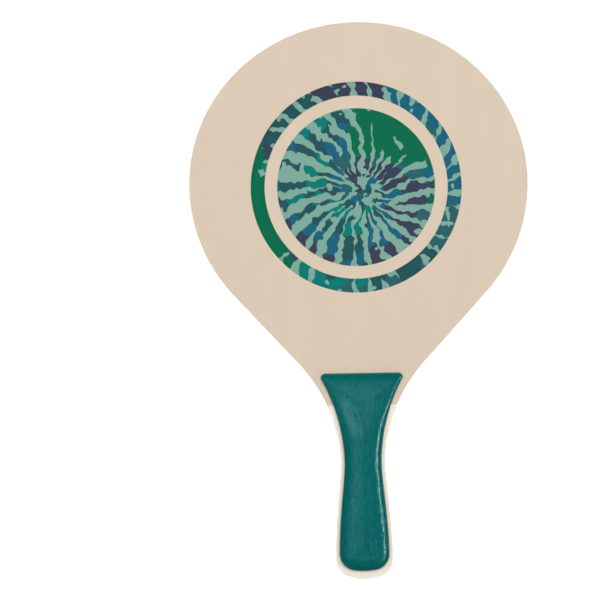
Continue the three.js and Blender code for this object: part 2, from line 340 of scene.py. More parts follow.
def rounded_edge(node, back_round, front_round, inset=0, steps=4):
    """Edge of a node's plate as pairs of inset and y, from its back to its front.

    Each arris is a quarter circle, and the whole edge is moved in by the inset.
    """
    low, high = node_box(node)
    turn = np.linspace(0, QUARTER_TURN, steps + 1)
    falling, rising = 1 - np.sin(turn), 1 - np.cos(turn)
    back = np.stack([back_round * falling, high[1] - back_round * rising], axis=1)
    front = np.stack([front_round * rising, low[1] + front_round * falling], axis=1)
    return np.concatenate([back, front]) + [inset, 0]


def plate_rings(outline, spine, edge, fill=9, support=0.5 * MM):
    """Closed plate: back face from the spine out, the edge profile inset along the normals, front face."""
    normal = inward(outline)
    rim = [level_ring(outline + normal * inset, y) for inset, y in edge]
    back, front = [
        flat_rings(outline + normal * (inset + support), spine, y, fill) for inset, y in (edge[0], edge[-1])
    ]
    return back + rim + front[::-1]


def loft_faces(rings, count, wrap):
    """Quads between each ring and the next, and back to the first one where the surface wraps."""
    ring = np.arange(rings if wrap else rings - 1)[:, None]
    step = np.arange(count)[None, :]
    beyond, turned = (ring + 1) % rings, (step + 1) % count
    return np.stack([
        ring * count + step, ring * count + turned, beyond * count + turned, beyond * count + step,
    ], axis=2).reshape(-1, 4)


def linked(name, data):
    """New object of some data, linked to the scene."""
    made = bpy.data.objects.new(name, data)
    bpy.context.scene.collection.objects.link(made)
    return made


def mesh_piece(name, rings, material, replaced, edge_distance=None, wrap=False):
    """Object of one closed lofted surface, with doubled points merged and its material added; the CAD node
    that it replaces is hidden.
    """
    points = np.concatenate(rings)
    mesh = bpy.data.meshes.new(name)
    mesh.from_pydata(points.tolist(), [], loft_faces(len(rings), len(rings[0]), wrap).tolist())
    if edge_distance is not None:
        layer = mesh.attributes.new("edge_distance", "FLOAT", "POINT")
        layer.data.foreach_set("value", np.asarray(edge_distance, np.float32).ravel())
    shell = bmesh.new()
    shell.from_mesh(mesh)
    bmesh.ops.remove_doubles(shell, verts=shell.verts, dist=MERGED)
    bmesh.ops.dissolve_degenerate(shell, edges=shell.edges, dist=DISSOLVED)
    shell.to_mesh(mesh)
    shell.free()
    mesh.shade_smooth()
    mesh.materials.append(material)
    piece = linked(name, mesh)
    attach(piece, "root")
    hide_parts(replaced)


def distance_in(rings, outline, top_share=1.0):
    """Shortest distance from every point of the rings, in the face plane, to the outline's chords.

    A chord counts in full, or less the more it faces upwards, down to the top share on a level one.
    """
    chord = np.roll(outline, -1, axis=0) - outline
    upward = np.clip(-chord[:, 0] / np.linalg.norm(chord, axis=1), 0, 1)
    weight = 1 - (1 - top_share) * upward ** 2
    found = []
    for ring in rings:
        apart = ring[:, None, :] - outline[None]
        share = np.clip((apart * chord).sum(2) / (chord ** 2).sum(1), 0, 1)
        found.append((np.linalg.norm(apart - share[..., None] * chord, axis=2) * weight).min(1))
    return np.array(found)


def soft_distance_in(ring, outline):
    """Distance to the outline with rounded mitres: (4 / (3 I)) ** 0.25.

    I is the integral of 1 / r ** 5 along the outline, summed over its chords in closed form. Beside one
    straight edge it gives the plain distance, and where two edges are as near it is a little less.
    """
    chord = np.roll(outline, -1, axis=0) - outline
    size = np.linalg.norm(chord, axis=1)
    apart = ring[:, None, :] - outline[None]
    along = (apart * chord).sum(2) / size
    off = np.abs(apart[..., 0] * chord[:, 1] - apart[..., 1] * chord[:, 0]) / size
    off = np.maximum(off, LEAST_OFF) ** 2

    def antiderivative(at):
        root = np.sqrt(off + at ** 2)
        return at / (3 * off * root ** 3) + 2 * at / (3 * off ** 2 * root)

    total = (antiderivative(size - along) - antiderivative(-along)).sum(1)
    return (4 / (3 * total)) ** 0.25


def crown_rise(plan, outline, grip):
    """Height of a scale's crown over rings that are drawn in from its outline.

    The distance d in from the edge gives a shoulder (1 - f ** p) ** (1 / p), where f falls from 1 at
    the edge to 0 at the reach. Mixed with an even rise in d up to the ridge, it leads from the edge's
    height to the thickness, which eases from the full one to the head end's as 3 u ** 2 - 2 u ** 3.
    """
    sharp = distance_in(plan, outline, grip.top_share)
    soft = np.array([soft_distance_in(ring, outline) for ring in plan])
    distance = sharp + (np.minimum(soft, sharp) - sharp) * grip.mitre
    fall = 1 - np.clip(distance / grip.reach, 0, 1)
    up = np.clip((np.array(plan)[..., 1] - SCALE_HIGH[2] + grip.taper_start)
                 / (grip.taper_start - grip.taper_end), 0, 1)
    full = SCALE_HIGH[1] - SCALE_LOW[1]
    thickness = full + (grip.head_thickness - full) * up ** 2 * (3 - 2 * up)
    shoulder = (1 - fall ** grip.power) ** (1 / grip.power)
    crowned = (1 - grip.roof) * shoulder + grip.roof * distance / distance.max()
    return grip.edge + (thickness - grip.edge) * crowned


# Nodes

WHITE, BLACK = (1, 1, 1, 1), (0, 0, 0, 1)
ORIGIN = (0, 0, 0)
# Kind of a group's socket by how many numbers its value has
SOCKET_KINDS = {1: "NodeSocketFloat", 3: "NodeSocketVector", 4: "NodeSocketColor"}


def feed(tree, node, inputs):
    """Give inputs of a node their values, or links from other sockets."""
    for key, value in dict(inputs).items():
        if isinstance(value, bpy.types.NodeSocket):
            tree.links.new(value, node.inputs[key])
        else:
            node.inputs[key].default_value = value


def add_node(tree, kind, inputs=(), **settings):
    """New node with its settings and its inputs."""
    made = tree.nodes.new(kind)
    for key, value in settings.items():
        setattr(made, key, value)
    feed(tree, made, inputs)
    return made


def maths(tree, operation, *values, clamp=False):
    """Result of a Math node."""
    made = add_node(tree, "ShaderNodeMath", enumerate(values), operation=operation, use_clamp=clamp)
    return made.outputs[0]


def times(tree, first, second):
    """One value times another."""
    return maths(tree, "MULTIPLY", first, second)


def plus(tree, base, value, factor=1.0, clamp=False):
    """Base plus a value times a factor."""
    return maths(tree, "MULTIPLY_ADD", value, factor, base, clamp=clamp)


def vector_maths(tree, operation, first, second):
    """Result of a Vector Math node."""
    made = add_node(tree, "ShaderNodeVectorMath", {0: first, 1: second}, operation=operation)
    return made.outputs["Vector"]


def remap(tree, value, low, high, to_low=0.0, to_high=1.0):
    """Value moved from one range to another, clamped to it."""
    return add_node(tree, "ShaderNodeMapRange", {
        "Value": value, "From Min": low, "From Max": high, "To Min": to_low, "To Max": to_high,
    }).outputs["Result"]


def mixed(tree, share, first, second):
    """Two colours mixed by a share."""
    made = add_node(tree, "ShaderNodeMix", {0: share, 6: first, 7: second}, data_type="RGBA")
    return made.outputs[2]


def noise(tree, vector, scale, detail=2.0, roughness=0.5, distortion=0.0, output="Fac"):
    """Fractal noise, with one scale or with one for each axis."""
    if isinstance(scale, tuple):
        vector, scale = vector_maths(tree, "MULTIPLY", vector, scale), 1.0
    return add_node(tree, "ShaderNodeTexNoise", {
        "Vector": vector, "Scale": scale, "Detail": detail,
        "Roughness": roughness, "Distortion": distortion,
    }).outputs[output]


def rgba(value):
    """Colour with full alpha."""
    return (*value, 1.0)


def new_group(name, inputs, outputs):
    """Empty node group with named sockets: the group, the values given to it, and its output node."""
    tree = bpy.data.node_groups.new(name, "ShaderNodeTree")
    for way, sockets in (("INPUT", inputs), ("OUTPUT", outputs)):
        for label, value in sockets.items():
            kind = SOCKET_KINDS[np.size(value)]
            tree.interface.new_socket(name=label, in_out=way, socket_type=kind).default_value = value
    return tree, tree.nodes.new("NodeGroupInput").outputs, tree.nodes.new("NodeGroupOutput")


def use_group(tree, name, inputs):
    """Outputs of a shared group, placed with its inputs."""
    return add_node(tree, "ShaderNodeGroup", inputs, node_tree=bpy.data.node_groups[name]).outputs


# Scales of the wood's slow bands, fine lines and short pores, and how much each darkens
BAND_SCALE, LINE_SCALE, PORE_SCALE = (90, 90, 3), (900, 900, 9), (2600, 2600, 110)
BAND_SHARE, LINE_SHARE, PORE_SHARE = 0.55, 0.45, 0.25


def wood_grain_group():
    """Wood with its grain along Z: slow bands, fine lines and short pores, in two colours."""
    tree, given, result = new_group("Wood Grain", {
        "Vector": ORIGIN, "Light": WHITE, "Dark": BLACK, "Contrast": 0.5,
    }, {"Color": BLACK, "Height": 0.0})
    bands = noise(tree, given["Vector"], BAND_SCALE, detail=3, distortion=0.6)
    lines = noise(tree, given["Vector"], LINE_SCALE, detail=3, roughness=0.6)
    pore = remap(tree, noise(tree, given["Vector"], PORE_SCALE, detail=1), 0.62, 0.72)
    grain = plus(tree, times(tree, lines, LINE_SHARE), bands, BAND_SHARE)
    share = times(tree, remap(tree, grain, 0.36, 0.66), given["Contrast"])
    share = plus(tree, share, pore, PORE_SHARE, clamp=True)
    feed(tree, result, {
        "Color": mixed(tree, share, given["Light"], given["Dark"]),
        "Height": maths(tree, "SUBTRACT", lines, pore),
    })


def edge_wear_group():
    """Mask of rubbed edges: full at the edge, fading over a reach and broken up by noise."""
    tree, given, result = new_group("Edge Wear", {
        "Vector": ORIGIN, "Distance": 1.0, "Reach": MM,
    }, {"Mask": 0.0})
    near = maths(tree, "DIVIDE", given["Distance"], given["Reach"])
    rough = noise(tree, given["Vector"], 420, detail=3, roughness=0.6)
    slow = noise(tree, given["Vector"], 28, detail=2)
    mask = maths(tree, "SUBTRACT", plus(tree, rough, slow), near)
    feed(tree, result, {"Mask": remap(tree, mask, 0.75, 1.15)})


def specks_group():
    """Sparse fine specks: the middles of a few cells, picked by each cell's own random value."""
    tree, given, result = new_group("Specks", {"Vector": ORIGIN, "Share": 0.1}, {"Mask": 0.0})
    cells = add_node(tree, "ShaderNodeTexVoronoi", {"Vector": given["Vector"], "Scale": 260})
    pick = add_node(tree, "ShaderNodeSeparateColor", {"Color": cells.outputs["Color"]})
    chosen = maths(tree, "LESS_THAN", pick.outputs["Red"], given["Share"])
    size = times(tree, pick.outputs["Green"], 0.12)
    dot = maths(tree, "LESS_THAN", cells.outputs["Distance"], size)
    feed(tree, result, {"Mask": times(tree, chosen, dot)})


# The dyed pattern's unit is the ring's outer radius, and its masks run from about 0 to 1
ZONE_COUNT = 8
# Scale, detail and size of each noise that pushes the pattern about
DRIFTS = ((3.2, 1, 0.16), (15, 0.4, 0.055))
# Distances from the eye between which blots give way to folds
EYE_INNER, EYE_OUTER = 0.08, 0.24
# Range of the rays' own strengths, and how far each is pinched and spiked along its length
WEAKEST_RAY, STRONGEST_RAY = 0.62, 1.28
PINCH_DEPTH, SPIKE_DEPTH = 0.2, 0.16
# Calm patch: height at its place, raggedness, slope towards the rim, and the level that it fills
CALM_PEAK, CALM_RAG, CALM_SLOPE, CALM_LEVEL = 0.6, 0.08, 0.7, 0.8
# Ground without rays, about the calm patch and in quiet parts: how far the folds reach into it
BARE_FOLD, BARE_LEVEL = 0.24, 0.74
QUIET_FOLD = 0.035
# Undyed drops, fewer in the calm patch
DROP_LEVEL, CALM_DROP_RISE = 0.69, 0.08
# How far the zones are shifted from one strip to the next, and by slow patches
STRIP_SHIFT, PATCH_SHIFT = 0.18, 0.35
# Added to the seed for the strips, so that they differ from the rays
STRIP_SEED = 50.5


def warped_polar(tree, place, eye, twist):
    """Place about the eye, pushed about by noise: its distance out and its angle, turned by the twist."""
    about = vector_maths(tree, "SUBTRACT", place, eye)
    for scale, detail, size in DRIFTS:
        push = noise(tree, place, scale, detail, output="Color")
        push = vector_maths(tree, "SUBTRACT", push, (0.5, 0.5, 0.5))
        about = vector_maths(tree, "ADD", about, vector_maths(tree, "MULTIPLY", push, (size, size, size)))
    flat = add_node(tree, "ShaderNodeSeparateXYZ", {0: about})
    x, z = flat.outputs["X"], flat.outputs["Z"]
    out = maths(tree, "SQRT", plus(tree, times(tree, z, z), x, x))
    turned = plus(tree, maths(tree, "ARCTAN2", z, x), out, twist)
    return out, maths(tree, "DIVIDE", turned, FULL_TURN)


def random_of(tree, number, count, seed):
    """Random value of a whole number that starts again after a count."""
    turn = maths(tree, "FLOORED_MODULO", number, count)
    return add_node(tree, "ShaderNodeTexWhiteNoise", {"W": plus(tree, turn, seed)},
                    noise_dimensions="1D").outputs["Value"]


def dyed_cloth_group(settings):
    """Folded and dyed cloth in flat inks.

    Undyed rays run out from an eye, and zones of dye wind round it. One dye has a calm patch without
    rays, and a few undyed drops lie about.
    """
    tree, given, result = new_group("Dyed Cloth", {
        "Vector": ORIGIN, "Eye": ORIGIN, "Calm Place": ORIGIN, "Twist": 1.0, "Seed": 0.0,
        "Rays": 26.0, "Ray Share": 0.4, "Winding": 1.2, "Calm": 0.58, "Calm Reach": 0.5, "Calm Rim": 0.6,
        "Undyed": rgba(settings.mint), "Calm Dye": rgba(settings.green),
        **{"Zone %d" % (index + 1): rgba(settings.slate) for index in range(ZONE_COUNT)},
    }, {"Color": BLACK, "Ray Mask": 0.0})
    seed, rays = given["Seed"], given["Rays"]
    lift = add_node(tree, "ShaderNodeCombineXYZ", {1: seed}).outputs[0]
    lifted = vector_maths(tree, "ADD", given["Vector"], lift)
    eye = vector_maths(tree, "ADD", given["Eye"], lift)
    out, turns = warped_polar(tree, lifted, eye, given["Twist"])
    # Folds of the cloth: 1 on a fold, 0 midway between two, and round blots near the eye
    fan = times(tree, turns, rays)
    middle = maths(tree, "ABSOLUTE", maths(tree, "SUBTRACT", maths(tree, "FRACT", fan), 0.5))
    near_eye = remap(tree, out, EYE_INNER, EYE_OUTER, 1.0, 0.0)
    blot = remap(tree, noise(tree, lifted, 13, detail=1), 0.35, 0.65)
    to_fold = times(tree, times(tree, middle, 2.0), maths(tree, "SUBTRACT", 1.0, near_eye))
    to_fold = plus(tree, to_fold, blot, near_eye)
    # Share of each ray: its fold's own strength, pinched and swollen along it
    strength = random_of(tree, maths(tree, "ROUND", fan), rays, seed)
    strength = remap(tree, strength, 0, 1, WEAKEST_RAY, STRONGEST_RAY)
    share = times(tree, given["Ray Share"], strength)
    pinch = noise(tree, lifted, 7.5, detail=0.5)
    spike = noise(tree, lifted, 19, detail=0)
    for swell, depth in ((pinch, PINCH_DEPTH), (spike, SPIKE_DEPTH)):
        share = plus(tree, share, remap(tree, swell, 0.3, 0.7, -depth, depth))
    # The calm patch, and the ground that has no rays
    mellow = noise(tree, lifted, 1.5, detail=0)
    away = add_node(tree, "ShaderNodeVectorMath", {0: given["Vector"], 1: given["Calm Place"]},
                    operation="DISTANCE").outputs["Value"]
    near = remap(tree, away, 0, given["Calm Reach"], CALM_PEAK, 0.0)
    ragged = remap(tree, pinch, 0.2, 0.8, -CALM_RAG, CALM_RAG)
    rimward = times(tree, maths(tree, "SUBTRACT", out, given["Calm Rim"]), CALM_SLOPE)
    calm = plus(tree, plus(tree, near, mellow), plus(tree, ragged, rimward))
    bare = maths(tree, "GREATER_THAN", plus(tree, calm, to_fold, -BARE_FOLD), BARE_LEVEL)
    quiet = maths(tree, "GREATER_THAN", plus(tree, mellow, to_fold, -QUIET_FOLD), given["Calm"])
    share = plus(tree, share, maths(tree, "MAXIMUM", quiet, bare), -2.0)
    calm = maths(tree, "GREATER_THAN", calm, CALM_LEVEL)
    ray = maths(tree, "GREATER_THAN", plus(tree, to_fold, share), 1.0)
    level = plus(tree, DROP_LEVEL, calm, CALM_DROP_RISE)
    drop = maths(tree, "GREATER_THAN", noise(tree, lifted, 9, detail=0.5), level)
    ray = maths(tree, "MAXIMUM", ray, drop)
    # Zones of dye wind round the eye, and each strip between two folds has them a little shifted
    strip = random_of(tree, maths(tree, "FLOOR", fan), rays, plus(tree, seed, STRIP_SEED))
    shift = times(tree, strip, remap(tree, near_eye, 0, 1, STRIP_SHIFT, 0.0))
    wound = plus(tree, turns, out, given["Winding"])
    wound = plus(tree, wound, noise(tree, lifted, 2.0, detail=1), PATCH_SHIFT)
    phase = maths(tree, "FRACT", plus(tree, wound, plus(tree, shift, seed)))
    dyed = given["Zone 1"]
    for index in range(1, ZONE_COUNT):
        beyond = maths(tree, "GREATER_THAN", phase, index / ZONE_COUNT)
        dyed = mixed(tree, beyond, dyed, given["Zone %d" % (index + 1)])
    dyed = mixed(tree, calm, dyed, given["Calm Dye"])
    feed(tree, result, {"Color": mixed(tree, ray, dyed, given["Undyed"]), "Ray Mask": ray})


def new_material(name):
    """Material with one Principled shader, and the object's coordinates."""
    material = bpy.data.materials.new(name)
    material.use_nodes = True
    tree = material.node_tree
    shader = tree.nodes["Principled BSDF"]
    place = add_node(tree, "ShaderNodeTexCoord").outputs["Object"]
    return material, tree, shader, place


def bump(tree, height, strength, distance=0.05 * MM):
    """Normal that is bumped by a height."""
    return add_node(tree, "ShaderNodeBump", {
        "Height": height, "Strength": strength, "Distance": distance,
    }).outputs["Normal"]


# How much duller a veneer's pores are, and how much smoother its raised lines
DULLER, SMOOTHER = 0.08, 0.06


def wood_material(name, light, dark, contrast, roughness, turned=False):
    """Sanded veneer; a crossband has the same grain turned to run across."""
    material, tree, shader, place = new_material(name)
    if turned:
        place = add_node(tree, "ShaderNodeMapping", {
            "Vector": place, "Rotation": (0, QUARTER_TURN, 0)}).outputs["Vector"]
    grain = use_group(tree, "Wood Grain", {
        "Vector": place, "Light": rgba(light), "Dark": rgba(dark), "Contrast": contrast})
    feed(tree, shader, {
        "Base Color": grain["Color"],
        "Roughness": remap(tree, grain["Height"], 0, 1, roughness + DULLER, roughness - SMOOTHER),
        "Normal": bump(tree, grain["Height"], 0.35),
    })
    return material


# The ply's grain through the film, as shares of the film's own tan
FILM_LIGHTER, FILM_DARKER = 1.012, 0.985
# How far in the film's edge is rubbed, and how much of the worn tan edges and specks take
RUBBED_REACH = 0.9 * MM
RUBBED_SHARE, SPECK_SHARE = 0.5, 0.35


def film_material(film):
    """Tan film: faint upright grain of the ply below, rubbed edges, a few pale specks."""
    material, tree, shader, place = new_material("tan_film")
    lighter = tuple(min(1.0, value * FILM_LIGHTER) for value in film.ground)
    darker = tuple(value * FILM_DARKER for value in film.ground)
    grain = use_group(tree, "Wood Grain", {
        "Vector": place, "Light": rgba(lighter), "Dark": rgba(darker), "Contrast": 0.9})
    edge = add_node(tree, "ShaderNodeAttribute", attribute_name="edge_distance").outputs["Fac"]
    wear = use_group(tree, "Edge Wear", {"Vector": place, "Distance": edge, "Reach": RUBBED_REACH})
    specks = use_group(tree, "Specks", {"Vector": place, "Share": 0.025})
    tone = grain["Color"]
    for mask, share in ((wear["Mask"], RUBBED_SHARE), (specks["Mask"], SPECK_SHARE)):
        tone = mixed(tree, times(tree, mask, share), tone, rgba(film.worn))
    feed(tree, shader, {
        "Base Color": tone,
        "Roughness": remap(tree, noise(tree, place, 35, detail=2), 0.3, 0.7, 0.42, 0.52),
        "Specular IOR Level": 0.35,
        "Normal": bump(tree, grain["Height"], 0.06),
    })
    return material


INK_ROUGHNESS, UNDYED_ROUGHNESS = 0.42, 0.48
# Dyes of the zones in order, and what the shared pattern takes for the disc and for the ring
DISC_ZONES = ("violet", "slate", "blue", "deep_teal", "teal", "deep_teal", "blue", "violet")
DISC_PATTERN = {
    "Rays": 26, "Ray Share": 0.5, "Winding": 0.8, "Seed": 3.4,
    "Calm": 0.9, "Calm Place": (0.49, 0, 0.57), "Calm Reach": 0.92, "Calm Rim": 0.58,
}
RING_ZONES = ("slate", "blue", "violet", "violet", "deep_teal", "teal", "slate", "deep_teal")
RING_PATTERN = {
    "Rays": 38, "Ray Share": 0.3, "Winding": 0.2, "Seed": 8.7,
    "Calm": 0.54, "Calm Place": (-0.9, 0, -0.35), "Calm Reach": 0.86, "Calm Rim": 0.93,
}


def dyed_material(name, settings, zones, pattern):
    """Ink of the disc or the ring, with the dyes of its zones in order and the values of its pattern."""
    material, tree, shader, place = new_material(name)
    centre = (RING_LOW + RING_HIGH) / 2
    unit = 2 / (RING_HIGH[0] - RING_LOW[0])
    about = vector_maths(tree, "SUBTRACT", place, tuple(centre))
    about = vector_maths(tree, "MULTIPLY", about, (unit, 0, unit))
    cloth = use_group(tree, "Dyed Cloth", {
        "Vector": about, "Eye": (settings.eye_x, 0, settings.eye_z), "Twist": settings.twist, **pattern,
        **{"Zone %d" % (index + 1): rgba(getattr(settings, zone)) for index, zone in enumerate(zones)},
    })
    feed(tree, shader, {
        "Base Color": cloth["Color"],
        "Roughness": remap(tree, cloth["Ray Mask"], 0, 1, INK_ROUGHNESS, UNDYED_ROUGHNESS),
        "Specular IOR Level": 0.07,
        "Normal": bump(tree, noise(tree, place, 2400, detail=2), 0.04),
    })
    return material


STROKE_SCALE, DAB_SCALE, RIPPLE_SCALE = (1700, 400, 180), (420, 200, 330), (900, 900, 30)
# What the pale strokes and the dabs add to the lacquer's roughness
STROKE_ROUGHNESS, DAB_ROUGHNESS = 0.05, 0.11
# What ripples, dabs and grain add to the lacquer's relief, and the relief's full height
RIPPLE_HEIGHT, DAB_HEIGHT, GRAIN_HEIGHT = 0.6, 0.36, 0.2
LACQUER_RELIEF = 0.15 * MM


def lacquer_material(grip):
    """Teal-stained wood under gloss lacquer.

    Dark grain lines and pale strokes colour the stain, and ripples along the grain and small dabs break
    up the gloss.
    """
    material, tree, shader, place = new_material("teal_lacquer")
    grain = use_group(tree, "Wood Grain", {
        "Vector": place, "Light": rgba(grip.stain), "Dark": rgba(grip.stain_dark), "Contrast": 0.55})
    stroke = remap(tree, noise(tree, place, STROKE_SCALE, detail=1), 0.42, 0.68)
    dab = remap(tree, noise(tree, place, DAB_SCALE, detail=1), 0.38, 0.62)
    ripple = noise(tree, place, RIPPLE_SCALE, detail=2, roughness=0.6)
    rough = plus(tree, grip.roughness - STROKE_ROUGHNESS, stroke, STROKE_ROUGHNESS)
    height = plus(tree, times(tree, ripple, RIPPLE_HEIGHT), dab, DAB_HEIGHT)
    height = plus(tree, height, grain["Height"], GRAIN_HEIGHT)
    feed(tree, shader, {
        "Base Color": mixed(tree, stroke, grain["Color"], rgba(grip.stroke)),
        "Roughness": plus(tree, rough, dab, DAB_ROUGHNESS),
        "Specular Tint": rgba(grip.gloss),
        "Normal": bump(tree, height, 1.0, LACQUER_RELIEF),
    })
    return material


# The glue where it is thick and where it is thin
DARK_GLUE, PALE_GLUE = (0.60, 0.44, 0.18), (0.78, 0.66, 0.40)


def glue_material():
    """Dried glue: amber, uneven and slightly glossy."""
    material, tree, shader, place = new_material("dried_glue")
    flow = noise(tree, place, 160, detail=4, distortion=0.8)
    feed(tree, shader, {
        "Base Color": mixed(tree, flow, rgba(DARK_GLUE), rgba(PALE_GLUE)),
        "Roughness": remap(tree, flow, 0.3, 0.7, 0.3, 0.5),
        "Normal": bump(tree, flow, 0.3),
    })
    return material


# The floor's grey in the light, and how bright its own white is to the camera
FLOOR_GREY, SEEN_FLOOR = (0.8, 0.8, 0.8), 0.93


def white_ground_material():
    """Pale floor that the camera sees white and that bounces a softer light."""
    material, tree, shader, _ = new_material("studio_floor")
    seen = add_node(tree, "ShaderNodeLightPath").outputs["Is Camera Ray"]
    feed(tree, shader, {
        "Base Color": rgba(FLOOR_GREY), "Roughness": 0.9, "Specular IOR Level": 0.0,
        "Emission Color": WHITE, "Emission Strength": times(tree, seen, SEEN_FLOOR),
    })
    return material


# Operators

# Steps between the points of the blade's and the scales' outlines
OUTLINE_STEP, SCALE_STEP = 1.2 * MM, 0.7 * MM
# Points across half of the film's end, and round the disc and the ring
FILM_END_POINTS, PRINT_POINTS = 12, 360
# Rounding of the ink's edges
PRINT_EDGE = 0.04 * MM
# Rings from a scale's edge to its ridge, and which of them its flat underside repeats
CROWN_RINGS, BASE_STRIDE = 44, 4
# Ends of the ridge's axis, as shares of the scale's half width at the butt and at its top
RIDGE_BUTT_SHARE, RIDGE_TOP_SHARE = 0.95, 0.64


class RACKET_OT_node_groups(bpy.types.Operator):
    """Make the node groups that the materials share"""

    bl_idname = "racket.node_groups"
    bl_label = "Shared Effects"

    def execute(self, context):
        wood_grain_group()
        edge_wear_group()
        specks_group()
        dyed_cloth_group(context.scene.racket_print)
        return {"FINISHED"}


class RACKET_OT_plies(bpy.types.Operator):
    """Build the blade's five plies with their sanded rim"""

    bl_idname = "racket.plies"
    bl_label = "Plies"

    def execute(self, context):
        blade = context.scene.racket_blade
        outline = closed(respaced(blade_half(blade), OUTLINE_STEP))
        spine = spine_of(outline, blade.handle_width / 2, blade.overall - blade.crown_rise)
        light, dark = blade.light_wood, blade.dark_wood
        veneer = wood_material("face_veneer", light, dark, contrast=0.5, roughness=0.5)
        core = wood_material("core_veneer", light, dark, contrast=0.9, roughness=0.6)
        cross = wood_material("crossband", blade.light_cross, blade.dark_cross,
                              contrast=0.8, roughness=0.65, turned=True)
        groove, arris, recess = blade.groove, blade.arris, blade.recess
        plies = (
            ("ply_face_front", "face_veneer_front", "face_veneer", veneer, groove, arris, 0),
            ("ply_cross_front", "crossband_front", "crossband", cross, groove, groove, recess),
            ("ply_core", "core_veneer", "core", core, groove, groove, 0),
            ("ply_cross_back", "crossband_back", "crossband", cross, groove, groove, recess),
            ("ply_face_back", "face_veneer_back", "face_veneer", veneer, arris, groove, 0),
        )
        for name, node, slot, material, back_round, front_round, inset in plies:
            edge = rounded_edge(node, back_round, front_round, inset)
            mesh_piece(name, plate_rings(outline, spine, edge), material, node)
        return {"FINISHED"}


class RACKET_OT_films(bpy.types.Operator):
    """Lay the tan film on both faces, down to its straight end across the neck"""

    bl_idname = "racket.films"
    bl_label = "Films"

    def execute(self, context):
        blade, film = context.scene.racket_blade, context.scene.racket_film
        half = respaced(blade_half(blade), OUTLINE_STEP)
        end_half_width = half_width_at(half, FILM_END)
        above = half[half[:, 1] > FILM_END + OUTLINE_STEP / 2]
        across = np.linspace(0, end_half_width, FILM_END_POINTS)
        bottom = np.stack([across, np.full(FILM_END_POINTS, FILM_END)], axis=1)
        outline = closed(np.concatenate([bottom, above]))
        spine = spine_of(outline, FILM_END + end_half_width, blade.overall - blade.crown_rise)
        material = film_material(film)
        sheets = (
            ("film_sheet_front", "film_front", 0, film.edge),
            ("film_sheet_back", "film_back", film.edge, 0),
        )
        for name, node, back_round, front_round in sheets:
            edge = rounded_edge(node, back_round, front_round, film.setback)
            rings = plate_rings(outline, spine, edge)
            plan = [ring[:, [0, 2]] for ring in rings]
            mesh_piece(name, rings, material, node, distance_in(plan, outline))
        return {"FINISHED"}


class RACKET_OT_print(bpy.types.Operator):
    """Print the dyed disc and the ring round it on the front film"""

    bl_idname = "racket.print"
    bl_label = "Print"

    def execute(self, context):
        settings = context.scene.racket_print
        turn = np.linspace(0, FULL_TURN, PRINT_POINTS + 1)[:-1]
        unit = np.stack([np.cos(turn), np.sin(turn)], axis=1)
        centre = ((DISC_LOW + DISC_HIGH) / 2)[[0, 2]]
        outline = centre + unit * (DISC_HIGH[0] - DISC_LOW[0]) / 2
        edge = rounded_edge("print_disc", 0, PRINT_EDGE)
        rings = plate_rings(outline, np.tile(centre, (len(turn), 1)), edge)
        disc = dyed_material("dyed_disc", settings, DISC_ZONES, DISC_PATTERN)
        mesh_piece("dyed_disc", rings, disc, "print_disc")
        # The ring is a section in radius and y, with two chamfered front edges, carried round a circle
        inner, outer = settings.ring_inner, (RING_HIGH[0] - RING_LOW[0]) / 2
        front, back = RING_LOW[1], RING_HIGH[1]
        section = (
            (inner, back), (outer, back), (outer, front + PRINT_EDGE),
            (outer - PRINT_EDGE, front), (inner + PRINT_EDGE, front), (inner, front + PRINT_EDGE),
        )
        rings = [level_ring(centre + unit * r, y) for r, y in section]
        band = dyed_material("dyed_ring", settings, RING_ZONES, RING_PATTERN)
        mesh_piece("dyed_ring", rings, band, "print_ring", wrap=True)
        return {"FINISHED"}


class RACKET_OT_grip(bpy.types.Operator):
    """Build the crowned grip scales and finish the glue under them"""

    bl_idname = "racket.grip"
    bl_label = "Grip Scales"

    def execute(self, context):
        blade, grip = context.scene.racket_blade, context.scene.racket_grip
        outline = closed(respaced(scale_half(blade, grip), SCALE_STEP))
        low_half = blade.handle_width / 2 - grip.butt_margin
        ridge_low = grip.bottom_margin + RIDGE_BUTT_SHARE * low_half
        ridge_high = SCALE_HIGH[2] - RIDGE_TOP_SHARE * outline[:, 0].max()
        spine = spine_of(outline, ridge_low, ridge_high)
        # The rings lie closer at the edge, by a cosine, where the shoulder turns quickly
        shares = 1 - np.cos(np.linspace(0, QUARTER_TURN, CROWN_RINGS))
        plan = [outline + (spine - outline) * share for share in shares]
        back = SCALE_HIGH[1]
        crown = [level_ring(ring, back - rise) for ring, rise in zip(plan, crown_rise(plan, outline, grip))]
        base = [level_ring(ring, back) for ring in plan[::-BASE_STRIDE]]
        front = base + [level_ring(outline, back)] + crown
        material = lacquer_material(grip)
        mesh_piece("scale_front", front, material, "grip_scale_front")
        rear = [ring * [1, -1, 1] for ring in front[::-1]]
        mesh_piece("scale_back", rear, material, "grip_scale_back")
        glue = glue_material()
        for node in ("glue_bed_front", "glue_bed_back"):
            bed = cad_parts[node]
            bed.data.materials.clear()
            bed.data.materials.append(glue)
        return {"FINISHED"}


